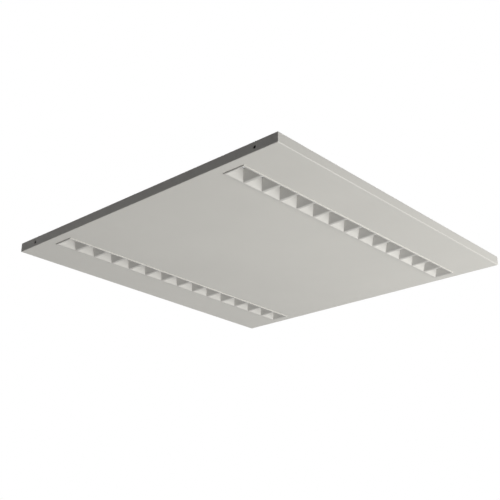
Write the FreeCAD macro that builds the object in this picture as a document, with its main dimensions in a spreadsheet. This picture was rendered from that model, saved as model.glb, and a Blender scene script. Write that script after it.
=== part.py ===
import FreeCAD, Part
import Sketcher
import math
import os
import re

# Surface mounted office luminaire, in millimetres.
# The origin is the centre of the ceiling contact plane and +Z points up into the ceiling.
# X runs along the two louvre rows.

doc = FreeCAD.newDocument("OfficeLuminaire")
sheet = doc.addObject("Spreadsheet::Sheet", "Sizes")

SIZES = {
    # ceiling pan
    "pad_height": 2.0,
    "pad_radius": 18.0,
    "pan_inset": 60.0,
    "pan_depth": 28.0,
    "pan_gauge": 1.0,
    "pan_bend": 3.0,
    "fixing_inset": 49.0,
    "fixing_width": 5.5,
    "fixing_length": 14.0,
    "entry_radius": 8.0,
    "grommet_flange": 3.0,
    "grommet_bore": 4.5,
    "grommet_head": 1.2,
    "grommet_collar": 2.5,
    # front tray and back plate
    "panel_side": 598.0,
    "panel_height": 16.3,
    "tray_gauge": 0.8,
    "tray_bend": 1.2,
    "rim_bend": 1.2,
    "corner_bend": 0.9,
    "rim_return": 11.0,
    "seat_gap": 1.2,
    "back_gauge": 0.8,
    "back_inset": 3.0,
    "pull_hole_radius": 2.5,
    "pull_hole_inset": 42.0,
    "pull_hole_rise": 7.2,
    "screw_inset": 45.0,
    # louvre rows
    "row_inset": 99.0,
    "row_margin": 17.0,
    "cell_pitch": 40.0,
    "partition": 1.6,
    "louvre_width": 40.0,
    "lip_wall": 1.4,
    "lip_drop": 1.4,
    "slot_clearance": 0.15,
    "louvre_flange": 4.0,
    "louvre_flange_gauge": 1.4,
    "louvre_wall": 1.4,
    "brow_rise": 0.33,
    "brow_inset": 1.5,
    "shoulder_rise": 1.25,
    "shoulder_inset": 2.7,
    "aperture": 9.0,
    # diode boards
    "board_gauge": 1.6,
    "board_width": 22.0,
    "board_end": 1.0,
    "lens_seat": 2.3,
    "lens_overlap": 1.5,
    "dome_clearance": 0.8,
    "dome_drop": 2.4,
    "diode_side": 3.5,
    "diode_height": 0.7,
    "diode_clearance": 0.4,
    "board_screw_radius": 1.5,
    "board_screw_reach": 1.0,
    "connector_length": 11.0,
    "connector_width": 7.0,
    "connector_height": 3.4,
    # hinge
    "hinge_offset": 120.0,
    "hinge_inset": 11.0,
    "hinge_clearance": 0.5,
    "arm_gauge": 2.0,
    "arm_eye_radius": 4.5,
    "arm_foot_height": 18.0,
    "arm_foot_width": 26.0,
    "pin_radius": 2.0,
    "pin_clearance": 0.05,
    "ear_gap": 0.6,
    "ear_gauge": 1.5,
    "clevis_width": 32.0,
    "clevis_back": 12.0,
    "clevis_front": 5.0,
    "pin_head_length": 1.5,
    "pin_tail": 2.4,
    "clip_gauge": 0.8,
    # rivets and rim screws
    "rivet_radius": 1.6,
    "rivet_clearance": 0.05,
    "rivet_head_radius": 3.0,
    "rivet_head_height": 1.2,
    "rivet_tail_radius": 2.5,
    "rivet_tail_height": 1.0,
    "rivet_edge": 5.5,
    "rim_screw_radius": 1.6,
    "screw_clearance": 0.1,
    "screw_reach": 2.5,
    # catches
    "catch_offset": 120.0,
    "catch_inset": 20.0,
    "stud_height": 16.0,
    "stud_ball_radius": 3.6,
    "stud_neck_radius": 2.2,
    "stud_foot_radius": 6.0,
    "stud_foot_height": 2.0,
    "stud_stem_radius": 1.5,
    "spring_gap": 0.6,
    "spring_flare": 3.0,
    "spring_lead_in": 5.0,
    "spring_gauge": 0.6,
    "spring_width": 12.0,
    # gear on the back plate
    "gear_offset": 90.0,
    "driver_length": 230.0,
    "driver_width": 30.0,
    "driver_height": 21.0,
    "driver_gauge": 0.8,
    "driver_shell": 1.2,
    "driver_end": 17.5,
    "driver_board_rise": 3.0,
    "driver_shift": 4.5,
    "driver_board_gauge": 1.6,
    "driver_tab": 9.0,
    "driver_screw_radius": 1.6,
    "pillar_radius": 2.0,
    "strip_height": 9.0,
    "transformer_length": 20.0,
    "transformer_width": 18.0,
    "choke_length": 14.0,
    "choke_width": 15.0,
    "capacitor_radius": 4.5,
    "reservoir_radius": 5.5,
    "headroom": 1.5,
    "block_gap": 26.0,
    "block_length": 34.0,
    "block_height": 19.0,
    "pole_pitch": 9.0,
    "pole_height": 6.0,
    "pole_entry": 3.2,
    "pole_chamber": 5.2,
    "contact_length": 14.0,
    "contact_gauge": 1.2,
    "block_side_wall": 2.5,
    "block_screw_radius": 1.2,
    "block_screw_inset": 6.0,
    "block_screw_sink": 4.0,
    "button_length": 7.0,
    "button_width": 5.0,
    "button_proud": 2.2,
    "button_depth": 5.0,
    "button_travel": 1.5,
    "button_clearance": 0.35,
    "lead_radius": 1.0,
    "lead_spacing": 4.0,
    "lead_clearance": 0.1,
    "lead_socket": 3.0,
    "bush_bore": 3.6,
    "bush_wall": 1.2,
    "bush_flange": 1.4,
    "clip_first": 50.0,
    "clip_step": 60.0,
    "clip_right": 36.0,
    "clip_length": 6.0,
    "clip_wall": 1.1,
    "earth_gap": 14.0,
    "earth_drop": 34.0,
    "earth_screw_radius": 2.0,
    "earth_ring_margin": 0.8,
    "earth_ring_gauge": 0.8,
    "earth_barrel_wall": 0.8,
    "earth_barrel_reach": 10.0,
}

# Levels and lines that follow from the sizes.
PLACES = {
    "pan_half": "panel_side / 2 - pan_inset",
    "plate_top": "-pad_height",
    "plate_under": "-pad_height - pan_gauge",
    "pan_bottom": "-pad_height - pan_depth",
    "back_top": "pan_bottom - seat_gap",
    "rim_top": "back_top - back_gauge",
    "face": "rim_top - panel_height",
    "tray_floor": "face + tray_gauge",
    "lip": "face - lip_drop",
    "board_under": "rim_top - board_gauge",
    "cell_top": "board_under - lens_seat",
    "row_y": "panel_side / 2 - row_inset",
    "cells": "floor((panel_side - 2 * row_margin) / cell_pitch)",
    "row_length": "cells * cell_pitch - partition + 2 * lip_wall",
    "mouth_x": "cell_pitch - partition",
    "mouth_y": "louvre_width - 2 * lip_wall",
    "fixing_x": "pan_half - fixing_inset",
    "hinge_x": "panel_side / 2 - hinge_inset",
    "hinge_z": "back_top + ear_gauge + hinge_clearance + arm_eye_radius",
    "ear_inner": "arm_gauge / 2 + ear_gap",
    "ear_outer": "ear_inner + ear_gauge",
    "catch_x": "catch_inset - pan_half",
    "ball_z": "back_top + stud_height",
    "driver_y": "gear_offset + driver_shift",
    "block_end": "-driver_length / 2 - block_gap",
    "block_x": "block_end - block_length",
    "block_top": "back_top + block_height",
    "pole_z": "back_top + pole_height",
    "connector_cell": "ceil((driver_length / 2 + block_gap + 2 * lead_spacing) / cell_pitch + cells / 2)",
    "connector_x": "(connector_cell - cells / 2) * cell_pitch",
    "connector_z": "board_under - connector_height / 2",
    "bush_y": "row_y - board_width / 2 - connector_width / 2 - bush_bore - bush_wall",
    "earth_x": "block_end + earth_gap",
    "earth_y": "gear_offset - pole_pitch - earth_drop",
}


def formula(text):
    """Writes a size formula out in full, in cells of the sheet."""
    names = "|".join(sorted(PLACES, key=len, reverse=True))
    pattern = r"\b(%s)\b" % names
    while re.search(pattern, text):
        text = re.sub(pattern, lambda found: "(" + PLACES[found.group(1)] + ")", text)
    aliases = "|".join(sorted(SIZES, key=len, reverse=True))
    return re.sub(r"\b(%s)\b" % aliases, r"Sizes.\1", text)


def number(text):
    """Value of a size formula, for shapes that take plain numbers."""
    return float(sheet.evalExpression(formula(text)))


def place(solid, position):
    """Binds the position of a solid to size formulas."""
    for axis, text in zip("xyz", position):
        solid.setExpression("Placement.Base." + axis, formula(text))
    return solid


def block(centre_x, centre_y, bottom, length, width, height):
    """Upright block, given by the middle of its lower face."""
    solid = doc.addObject("Part::Box", "Block")
    solid.setExpression("Length", formula(length))
    solid.setExpression("Width", formula(width))
    solid.setExpression("Height", formula(height))
    corner_x = "(%s) - (%s) / 2" % (centre_x, length)
    corner_y = "(%s) - (%s) / 2" % (centre_y, width)
    return place(solid, (corner_x, corner_y, bottom))


TURNS = {
    "z": FreeCAD.Rotation(),
    "x": FreeCAD.Rotation(FreeCAD.Vector(0, 1, 0), 90),
    "y": FreeCAD.Rotation(FreeCAD.Vector(1, 0, 0), -90),
}


def rod(start_x, start_y, start_z, radius, length, axis="z"):
    """Round rod from a start point along one axis."""
    solid = doc.addObject("Part::Cylinder", "Rod")
    solid.Placement = FreeCAD.Placement(FreeCAD.Vector(), TURNS[axis])
    solid.setExpression("Radius", formula(radius))
    solid.setExpression("Height", formula(length))
    return place(solid, (start_x, start_y, start_z))


def taper(start_x, start_y, start_z, radius_start, radius_end, length):
    """Upright cone frustum."""
    solid = doc.addObject("Part::Cone", "Taper")
    solid.setExpression("Radius1", formula(radius_start))
    solid.setExpression("Radius2", formula(radius_end))
    solid.setExpression("Height", formula(length))
    return place(solid, (start_x, start_y, start_z))


def ball(centre_x, centre_y, centre_z, radius):
    """Full sphere."""
    solid = doc.addObject("Part::Sphere", "Ball")
    solid.setExpression("Radius", formula(radius))
    return place(solid, (centre_x, centre_y, centre_z))


def joined(solids):
    """One solid made of several."""
    union = doc.addObject("Part::MultiFuse", "Joined")
    union.Shapes = solids
    return union


def without(solid, tools):
    """A solid with other solids taken out of it."""
    rest = doc.addObject("Part::Cut", "Without")
    rest.Base = solid
    rest.Tool = tools[0] if len(tools) == 1 else joined(tools)
    return rest


def rounded(solid, radius, chosen):
    """A solid with the chosen edges rounded."""
    doc.recompute()
    smooth = doc.addObject("Part::Fillet", "Rounded")
    smooth.Base = solid
    size = number(radius)
    edges = solid.Shape.Edges
    smooth.Edges = [(index + 1, size, size) for index, edge in enumerate(edges) if chosen(edge)]
    return smooth


NODES = []


def node(name, shape):
    """Names a finished piece."""
    shape.Label = name
    NODES.append(shape)
    return shape


def pieces(name, solids):
    """Several like solids under one name."""
    several = doc.addObject("Part::Compound", "Pieces")
    several.Links = solids
    return node(name, several)


def is_upright(edge):
    first, last = edge.Vertexes[0].Point, edge.Vertexes[-1].Point
    return abs(first.x - last.x) + abs(first.y - last.y) < 1e-6


def is_level_at(text):
    height = number(text)
    return lambda edge: all(abs(corner.Z - height) < 1e-6 for corner in edge.Vertexes)


for row, (alias, size) in enumerate(SIZES.items(), start=1):
    sheet.set("A%d" % row, alias)
    sheet.set("B%d" % row, str(size))
    sheet.setAlias("B%d" % row, alias)
doc.recompute()


def moved(position, axis, distance):
    """Position moved along one axis."""
    shift = {axis: " + (%s)" % distance}
    return tuple("(%s)%s" % (text, shift.get(name, "")) for name, text in zip("xyz", position))


def rivet_hole(position, grip, axis="z"):
    """Hole for a rivet through a stack of sheets that starts at a position."""
    start = moved(position, axis, "-1")
    return rod(*start, "rivet_radius + rivet_clearance", "(%s) + 2" % grip, axis)


def rivet(position, grip, axis="z"):
    """Rivet through a stack of sheets: closed end at its start, head at its far side."""
    shank = rod(*position, "rivet_radius", grip, axis)
    head = rod(*moved(position, axis, grip), "rivet_head_radius", "rivet_head_height", axis)
    tail = rod(*moved(position, axis, "-rivet_tail_height"), "rivet_tail_radius", "rivet_tail_height", axis)
    return joined([shank, head, tail])


def screw_hole(x, y, bottom, radius, height):
    """Upright clearance hole for a screw."""
    return rod(x, y, bottom + " - 1", "%s + screw_clearance" % radius, "(%s) + 2" % height)


def screw(x, y, tip, seat, radius):
    """Pan head screw from its tip up to the seat of its head, with a cross recess."""
    shank = rod(x, y, tip, radius, "(%s) - (%s)" % (seat, tip))
    head = taper(x, y, seat, "1.95 * " + radius, "1.4 * " + radius, "1.2 * " + radius)
    recess_z = "%s + 0.5 * %s" % (seat, radius)
    recess = block(x, y, recess_z, "1.8 * " + radius, "0.5 * " + radius, radius)
    cross = block(x, y, recess_z, "0.5 * " + radius, "1.8 * " + radius, radius)
    return without(joined([shank, head]), [recess, cross])


SIDES = (("left", "-1"), ("right", "1"))
CORNERS = (("-1", "-1"), ("1", "-1"), ("-1", "1"), ("1", "1"))


# Ceiling pan: folded steel box, open below, with four raised pads that meet the ceiling.
# Each pad has a fixing slot, and a rubber grommet lines the cable entry.

pan_side = "2 * pan_half"
pan_outer = block("0", "0", "pan_bottom", pan_side, pan_side, "pan_depth")
pan_outer = rounded(pan_outer, "pan_bend", is_upright)
pan_outer = rounded(pan_outer, "pan_bend / 2", is_level_at("plate_top"))
pan_pads = []
pan_openings = []
inner_side = "2 * pan_half - 2 * pan_gauge"
pan_openings.append(block("0", "0", "pan_bottom", inner_side, inner_side, "pan_depth - pan_gauge"))
for sign_x, sign_y in CORNERS:
    pad_x = sign_x + " * fixing_x"
    pad_y = sign_y + " * fixing_x"
    pan_pads.append(taper(pad_x, pad_y, "plate_top", "pad_radius + pad_height", "pad_radius", "pad_height"))
    hollow = taper(pad_x, pad_y, "plate_under", "pad_radius + pad_height - pan_gauge",
                   "pad_radius - pan_gauge", "pad_height")
    pan_openings.append(hollow)
    straight = "fixing_length - fixing_width"
    through = "2 * pad_height + 2 * pan_gauge"
    pan_openings.append(block(pad_x, pad_y, "plate_under", straight, "fixing_width", through))
    for end in ("-1", "1"):
        end_x = "%s + %s * (%s) / 2" % (pad_x, end, straight)
        pan_openings.append(rod(end_x, pad_y, "plate_under", "fixing_width / 2", through))
pan_openings.append(rod("0", "0", "plate_under - 1", "entry_radius", "pan_gauge + 2"))

# Rivet seats of the hinge arms in the far wall and of the catch springs in the top.
arm_rivet_z = "hinge_z - arm_eye_radius + arm_foot_height - rivet_edge"
arm_rivet_y = "arm_foot_width / 2 - rivet_edge"
arm_grip = "pan_gauge + arm_gauge"
arm_rivet_places = {}
catch_places = {}
for side, sign in SIDES:
    arm_rivet_places[side] = []
    for turn in ("-1", "1"):
        rivet_y = "%s * hinge_offset + %s * (%s)" % (sign, turn, arm_rivet_y)
        arm_rivet_places[side].append(("pan_half - pan_gauge", rivet_y, arm_rivet_z))
    catch_places[side] = ("catch_x", sign + " * catch_offset", "plate_under - spring_gauge")
    pan_openings += [rivet_hole(spot, arm_grip, "x") for spot in arm_rivet_places[side]]
    pan_openings.append(rivet_hole(catch_places[side], "spring_gauge + pan_gauge"))
node("ceiling_pan", without(joined([pan_outer] + pan_pads), pan_openings))

grommet_radius = "entry_radius + grommet_flange"
grommet_body = rod("0", "0", "plate_under - grommet_collar", grommet_radius,
                   "grommet_collar + pan_gauge + grommet_head")
groove_ring = without(rod("0", "0", "plate_under", grommet_radius + " + 1", "pan_gauge"),
                      [rod("0", "0", "plate_under", "entry_radius - 0.02", "pan_gauge")])
grommet_hole = rod("0", "0", "plate_under - grommet_collar - 1", "grommet_bore",
                   "grommet_collar + pan_gauge + grommet_head + 2")
node("cable_grommet", without(grommet_body, [groove_ring, grommet_hole]))


# Hinge arms: two steel brackets riveted to the far wall of the pan, each with an eye for the pin.

arm_rivets = []
for side, sign in SIDES:
    arm_y = sign + " * hinge_offset"
    arm_bar = doc.addObject("Part::Wedge", "Bar")
    arm_bar.Placement = FreeCAD.Placement(FreeCAD.Vector(), FreeCAD.Rotation(FreeCAD.Vector(0, 0, 1), -90))
    arm_bar.setExpression("Xmin", formula("-arm_gauge / 2"))
    arm_bar.setExpression("Xmax", formula("arm_gauge / 2"))
    arm_bar.setExpression("X2min", formula("-arm_gauge / 2"))
    arm_bar.setExpression("X2max", formula("arm_gauge / 2"))
    arm_bar.setExpression("Ymin", "0")
    arm_bar.setExpression("Ymax", formula("hinge_x - pan_half"))
    arm_bar.setExpression("Zmin", formula("-arm_eye_radius"))
    arm_bar.setExpression("Zmax", formula("arm_foot_height - arm_eye_radius"))
    arm_bar.setExpression("Z2min", formula("-arm_eye_radius"))
    arm_bar.setExpression("Z2max", formula("arm_eye_radius"))
    place(arm_bar, ("pan_half", arm_y, "hinge_z"))
    arm_eye = rod("hinge_x", "%s - arm_gauge / 2" % arm_y, "hinge_z", "arm_eye_radius", "arm_gauge", "y")
    arm_foot = block("pan_half + arm_gauge / 2", arm_y, "hinge_z - arm_eye_radius",
                     "arm_gauge", "arm_foot_width", "arm_foot_height")
    arm_holes = [rod("hinge_x", "%s - arm_gauge" % arm_y, "hinge_z", "pin_radius + pin_clearance",
                     "2 * arm_gauge", "y")]
    for spot in arm_rivet_places[side]:
        arm_holes.append(rivet_hole(spot, arm_grip, "x"))
        arm_rivets.append(rivet(spot, arm_grip, "x"))
    node("hinge_arm_" + side, without(joined([arm_bar, arm_eye, arm_foot]), arm_holes))
pieces("hinge_arm_rivets", arm_rivets)


# Catch springs: two bent leaves that grip the studs of the panel, riveted under the pan.

def leaf_profile(points, gauge):
    """Outline of a bent strip: each point of the centre line moved half a gauge to both sides."""
    one_side, other_side = [], []
    for index, point in enumerate(points):
        before = points[max(index - 1, 0)]
        after = points[min(index + 1, len(points) - 1)]
        into = (point - before).normalize() if index else (after - point).normalize()
        away = (after - point).normalize() if index < len(points) - 1 else into
        square_in = FreeCAD.Vector(0, -into.z, into.y)
        square_out = FreeCAD.Vector(0, -away.z, away.y)
        shift = (square_in + square_out).normalize()
        shift = shift * (gauge / 2 / shift.dot(square_in))
        one_side.append(point + shift)
        other_side.append(point - shift)
    outline = one_side + other_side[::-1]
    return Part.Face(Part.makePolygon(outline + outline[:1]))


spring_wide = "stud_ball_radius + spring_gap + spring_gauge"
spring_lines = (
    ("stud_neck_radius + spring_flare", "ball_z - stud_ball_radius - 2 * spring_gap - spring_lead_in"),
    ("stud_neck_radius + spring_gap + spring_gauge / 2", "ball_z - stud_ball_radius - 2 * spring_gap"),
    (spring_wide, "ball_z + spring_gap"),
    (spring_wide, "plate_under - spring_gauge / 2"),
)
catch_springs = []
catch_rivets = []
for side, sign in SIDES:
    half = [FreeCAD.Vector(0, number(across), number(height)) for across, height in spring_lines]
    mirrored = [FreeCAD.Vector(0, -point.y, point.z) for point in reversed(half)]
    profile = leaf_profile(half + mirrored, number("spring_gauge"))
    spring = doc.addObject("Part::Feature", "Spring")
    spring.Shape = profile.extrude(FreeCAD.Vector(number("spring_width"), 0, 0))
    place(spring, ("catch_x - spring_width / 2", sign + " * catch_offset", "0"))
    catch_springs.append(without(spring, [rivet_hole(catch_places[side], "spring_gauge + pan_gauge")]))
    catch_rivets.append(rivet(catch_places[side], "spring_gauge + pan_gauge"))
pieces("catch_springs", catch_springs)
pieces("catch_spring_rivets", catch_rivets)


# Front tray: folded sheet with four rim walls, an inward return at the top of each wall,
# two slots for the louvres and two pull-down holes in the wall away from the hinge.

tray_outer = block("0", "0", "face", "panel_side", "panel_side", "panel_height")
tray_outer = rounded(tray_outer, "corner_bend", is_upright)
tray_outer = rounded(tray_outer, "tray_bend", is_level_at("face"))
tray_outer = rounded(tray_outer, "rim_bend", is_level_at("rim_top"))
cavity_side = "panel_side - 2 * tray_gauge"
opening_side = "panel_side - 2 * rim_return"
slot_length = "row_length + 2 * slot_clearance"
slot_width = "louvre_width + 2 * slot_clearance"
tray_openings = [
    block("0", "0", "tray_floor", cavity_side, cavity_side, "panel_height - 2 * tray_gauge"),
    block("0", "0", "tray_floor", opening_side, opening_side, "panel_height"),
]
for side, sign in SIDES:
    slot_y = sign + " * row_y"
    tray_openings.append(block("0", slot_y, "face - 1", slot_length, slot_width, "tray_gauge + 2"))
    hole_y = sign + " * (panel_side / 2 - pull_hole_inset)"
    tray_openings.append(rod("-panel_side / 2 - 1", hole_y, "face + pull_hole_rise",
                             "pull_hole_radius", "tray_gauge + 2", "x"))

# Back plate: flat sheet on the returns of the tray, held by screws along the rim.

plate_side = "panel_side - 2 * back_inset"
back_outer = block("0", "0", "rim_top", plate_side, plate_side, "back_gauge")
back_openings = []
back_screws = []
screw_line = "panel_side / 2 - rim_return / 2"
screw_along = "panel_side / 2 - screw_inset"
screw_places = []
for across in ("-1", "1"):
    for along in ("-1", "0", "1"):
        screw_places.append((across + " * (%s)" % screw_line, along + " * (%s)" % screw_along))
        screw_places.append((along + " * (%s)" % screw_along, across + " * (%s)" % screw_line))
for screw_x, screw_y in screw_places:
    return_under = "rim_top - tray_gauge"
    tray_openings.append(screw_hole(screw_x, screw_y, return_under, "rim_screw_radius", "tray_gauge"))
    back_openings.append(screw_hole(screw_x, screw_y, "rim_top", "rim_screw_radius", "back_gauge"))
    screw_tip = return_under + " - screw_reach"
    back_screws.append(screw(screw_x, screw_y, screw_tip, "back_top", "rim_screw_radius"))
node("front_tray", without(tray_outer, tray_openings))
pieces("back_plate_screws", back_screws)


# Louvre rows: each strip is a moulding of square reflector cells. Its lip passes through the
# slot, its flange lies on the tray floor, and each cell narrows to an aperture. The ribs between
# the cells are rounded: a brow and a shoulder lead from their flat edge into the sloping walls.

def origin_part(body, role):
    """Origin plane or axis of a body."""
    return [part for part in body.Origin.OriginFeatures if part.Role == role][0]


def sketch_rectangle(body, level, centre_x, length, width):
    """Rectangle across a body, at a level, centred on the body's X axis."""
    sketch = body.newObject("Sketcher::SketchObject", "Outline")
    sketch.AttachmentSupport = [(origin_part(body, "XY_Plane"), "")]
    sketch.MapMode = "FlatFace"
    sketch.setExpression("AttachmentOffset.Base.z", formula(level))
    left_x = number(centre_x) - number(length) / 2
    right_x = number(centre_x) + number(length) / 2
    near_y = -number(width) / 2
    far_y = number(width) / 2
    corners = [FreeCAD.Vector(left_x, near_y), FreeCAD.Vector(right_x, near_y),
               FreeCAD.Vector(right_x, far_y), FreeCAD.Vector(left_x, far_y)]
    for index in range(4):
        sketch.addGeometry(Part.LineSegment(corners[index], corners[(index + 1) % 4]))
    for index in range(4):
        sketch.addConstraint(Sketcher.Constraint("Coincident", index, 2, (index + 1) % 4, 1))
    for index in (0, 2):
        sketch.addConstraint(Sketcher.Constraint("Horizontal", index))
        sketch.addConstraint(Sketcher.Constraint("Vertical", index + 1))
    bound = (
        ("start_x", "DistanceX", (-1, 1, 0, 1), left_x, "(%s) - (%s) / 2" % (centre_x, length)),
        ("start_y", "DistanceY", (-1, 1, 0, 1), near_y, "-(%s) / 2" % width),
        ("length", "DistanceX", (0, 1, 0, 2), right_x - left_x, length),
        ("width", "DistanceY", (1, 1, 1, 2), far_y - near_y, width),
    )
    for name, kind, ends, value, text in bound:
        index = sketch.addConstraint(Sketcher.Constraint(kind, *ends, value))
        sketch.renameConstraint(index, name)
        sketch.setExpression("Constraints." + name, formula(text))
    return sketch


def pad(body, level, centre_x, length, width, height):
    """Block added to a body."""
    sketch = sketch_rectangle(body, level, centre_x, length, width)
    feature = body.newObject("PartDesign::Pad", "Pad")
    feature.Profile = sketch
    feature.setExpression("Length", formula(height))
    return feature


def loft(body, kind, sections):
    """Straight-sided loft through rectangles of a body."""
    sketches = [sketch_rectangle(body, *section) for section in sections]
    feature = body.newObject("PartDesign::" + kind, "Loft")
    feature.Profile = sketches[0]
    feature.Sections = sketches[1:]
    feature.Ruled = True
    return feature


def repeat(body, features):
    """Row of copies along X, one for each cell."""
    pattern = body.newObject("PartDesign::LinearPattern", "Row")
    pattern.Originals = features
    pattern.Direction = (origin_part(body, "X_Axis"), [""])
    pattern.Mode = "Spacing"
    pattern.setExpression("Offset", formula("cell_pitch"))
    pattern.setExpression("Occurrences", formula("cells"))
    body.Tip = pattern
    return pattern


first_cell = "-(cells - 1) / 2 * cell_pitch"
brow_z = "lip + brow_rise"
shoulder_z = "lip + shoulder_rise"
shoulder_x = "(mouth_x - 2 * shoulder_inset)"
shoulder_y = "(mouth_y - 2 * shoulder_inset)"
floor_share = "(tray_floor - lip - shoulder_rise) / (cell_top - lip - shoulder_rise)"
floor_x = "%s + (aperture - %s) * %s" % (shoulder_x, shoulder_x, floor_share)
floor_y = "%s + (aperture - %s) * %s" % (shoulder_y, shoulder_y, floor_share)
wall_both = " + 2 * louvre_wall"
board_length = "cells * cell_pitch - 2 * board_end"
board_screw_cells = ("2", "5", "cells - 5", "cells - 2")
board_screws = []
for side, sign in SIDES:
    row_line = sign + " * row_y"

    louvre = doc.addObject("PartDesign::Body", "Louvre")
    place(louvre, ("0", row_line, "0"))
    pad(louvre, "lip", "0", "row_length", "louvre_width", "tray_floor - lip + louvre_flange_gauge / 2")
    pad(louvre, "tray_floor", "0", "row_length + 2 * louvre_flange",
        "louvre_width + 2 * louvre_flange", "louvre_flange_gauge")
    shell = loft(louvre, "AdditiveLoft", (
        ("tray_floor", first_cell, floor_x + wall_both, floor_y + wall_both),
        ("cell_top", first_cell, "aperture" + wall_both, "aperture" + wall_both),
    ))
    repeat(louvre, [shell])
    hollow = loft(louvre, "SubtractiveLoft", (
        ("lip", first_cell, "mouth_x", "mouth_y"),
        (brow_z, first_cell, "mouth_x - 2 * brow_inset", "mouth_y - 2 * brow_inset"),
        (shoulder_z, first_cell, shoulder_x, shoulder_y),
        ("cell_top", first_cell, "aperture", "aperture"),
    ))
    repeat(louvre, [hollow])
    node("louvre_" + side, louvre)

    lenses = doc.addObject("PartDesign::Body", "Lenses")
    lenses.AllowCompound = True
    place(lenses, ("0", row_line, "0"))
    lens_side = "aperture + 2 * lens_overlap"
    lens_base = pad(lenses, "cell_top", first_cell, lens_side, lens_side, "lens_seat")
    dome = lenses.newObject("PartDesign::AdditiveSphere", "Dome")
    dome_foot = "(aperture / 2 - dome_clearance)"
    dome_ball = "(%s ^ 2 + dome_drop ^ 2) / (2 * dome_drop)" % dome_foot
    dome.Angle1 = -90
    dome.setExpression("Angle2", formula("-asin(1 - dome_drop / (%s))" % dome_ball))
    dome.setExpression("Radius", formula(dome_ball))
    dome.setExpression("AttachmentOffset.Base.x", formula(first_cell))
    dome.setExpression("AttachmentOffset.Base.z", formula("cell_top - dome_drop + " + dome_ball))
    pocket = lenses.newObject("PartDesign::SubtractiveCylinder", "Pocket")
    pocket_height = "diode_height + diode_clearance"
    pocket.setExpression("Radius", formula("diode_side / sqrt(2) + diode_clearance"))
    pocket.setExpression("Height", formula(pocket_height))
    pocket.setExpression("AttachmentOffset.Base.x", formula(first_cell))
    pocket.setExpression("AttachmentOffset.Base.z", formula("board_under - (%s)" % pocket_height))
    for feature in (dome, pocket):
        feature.AttachmentSupport = [(origin_part(lenses, "XY_Plane"), "")]
        feature.MapMode = "FlatFace"
    repeat(lenses, [lens_base, dome, pocket])
    node("lenses_" + side, lenses)

    diodes = doc.addObject("PartDesign::Body", "Diodes")
    diodes.AllowCompound = True
    place(diodes, ("0", row_line, "0"))
    diode = pad(diodes, "board_under - diode_height", first_cell, "diode_side", "diode_side", "diode_height")
    repeat(diodes, [diode])
    node("diodes_" + side, diodes)

    board = block("0", row_line, "board_under", board_length, "board_width", "board_gauge")
    board_holes = []
    for cell in board_screw_cells:
        screw_x = "(%s - cells / 2) * cell_pitch" % cell
        board_holes.append(screw_hole(screw_x, row_line, "board_under", "board_screw_radius", "board_gauge"))
        back_openings.append(screw_hole(screw_x, row_line, "rim_top", "board_screw_radius", "back_gauge"))
        shank = rod(screw_x, row_line, "board_under", "board_screw_radius",
                    "board_gauge + back_gauge + board_screw_reach")
        head = rod(screw_x, row_line, "board_under - 1.2 * board_screw_radius", "1.85 * board_screw_radius",
                   "1.2 * board_screw_radius")
        recess = rod(screw_x, row_line, "board_under - 1.2 * board_screw_radius", "0.8 * board_screw_radius",
                     "0.7 * board_screw_radius")
        board_screws.append(without(joined([shank, head]), [recess]))
    node("diode_board_" + side, without(board, board_holes))

    connector_y = "%s * (row_y - board_width / 2)" % sign
    housing = block("connector_x", connector_y, "board_under - connector_height",
                    "connector_length", "connector_width", "connector_height")
    sockets = []
    for turn in ("-1", "1"):
        socket_x = "connector_x + %s * lead_spacing / 2" % turn
        socket_y = "%s * (row_y - board_width / 2 - connector_width / 2) - lead_socket" % sign
        sockets.append(rod(socket_x, socket_y, "connector_z", "lead_radius + lead_clearance",
                           "2 * lead_socket", "y"))
    node("board_connector_" + side, without(housing, sockets))
pieces("board_screws", board_screws)


# Hinge clevises: two folded brackets riveted to the back plate, with pins that run in the arm eyes.

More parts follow.
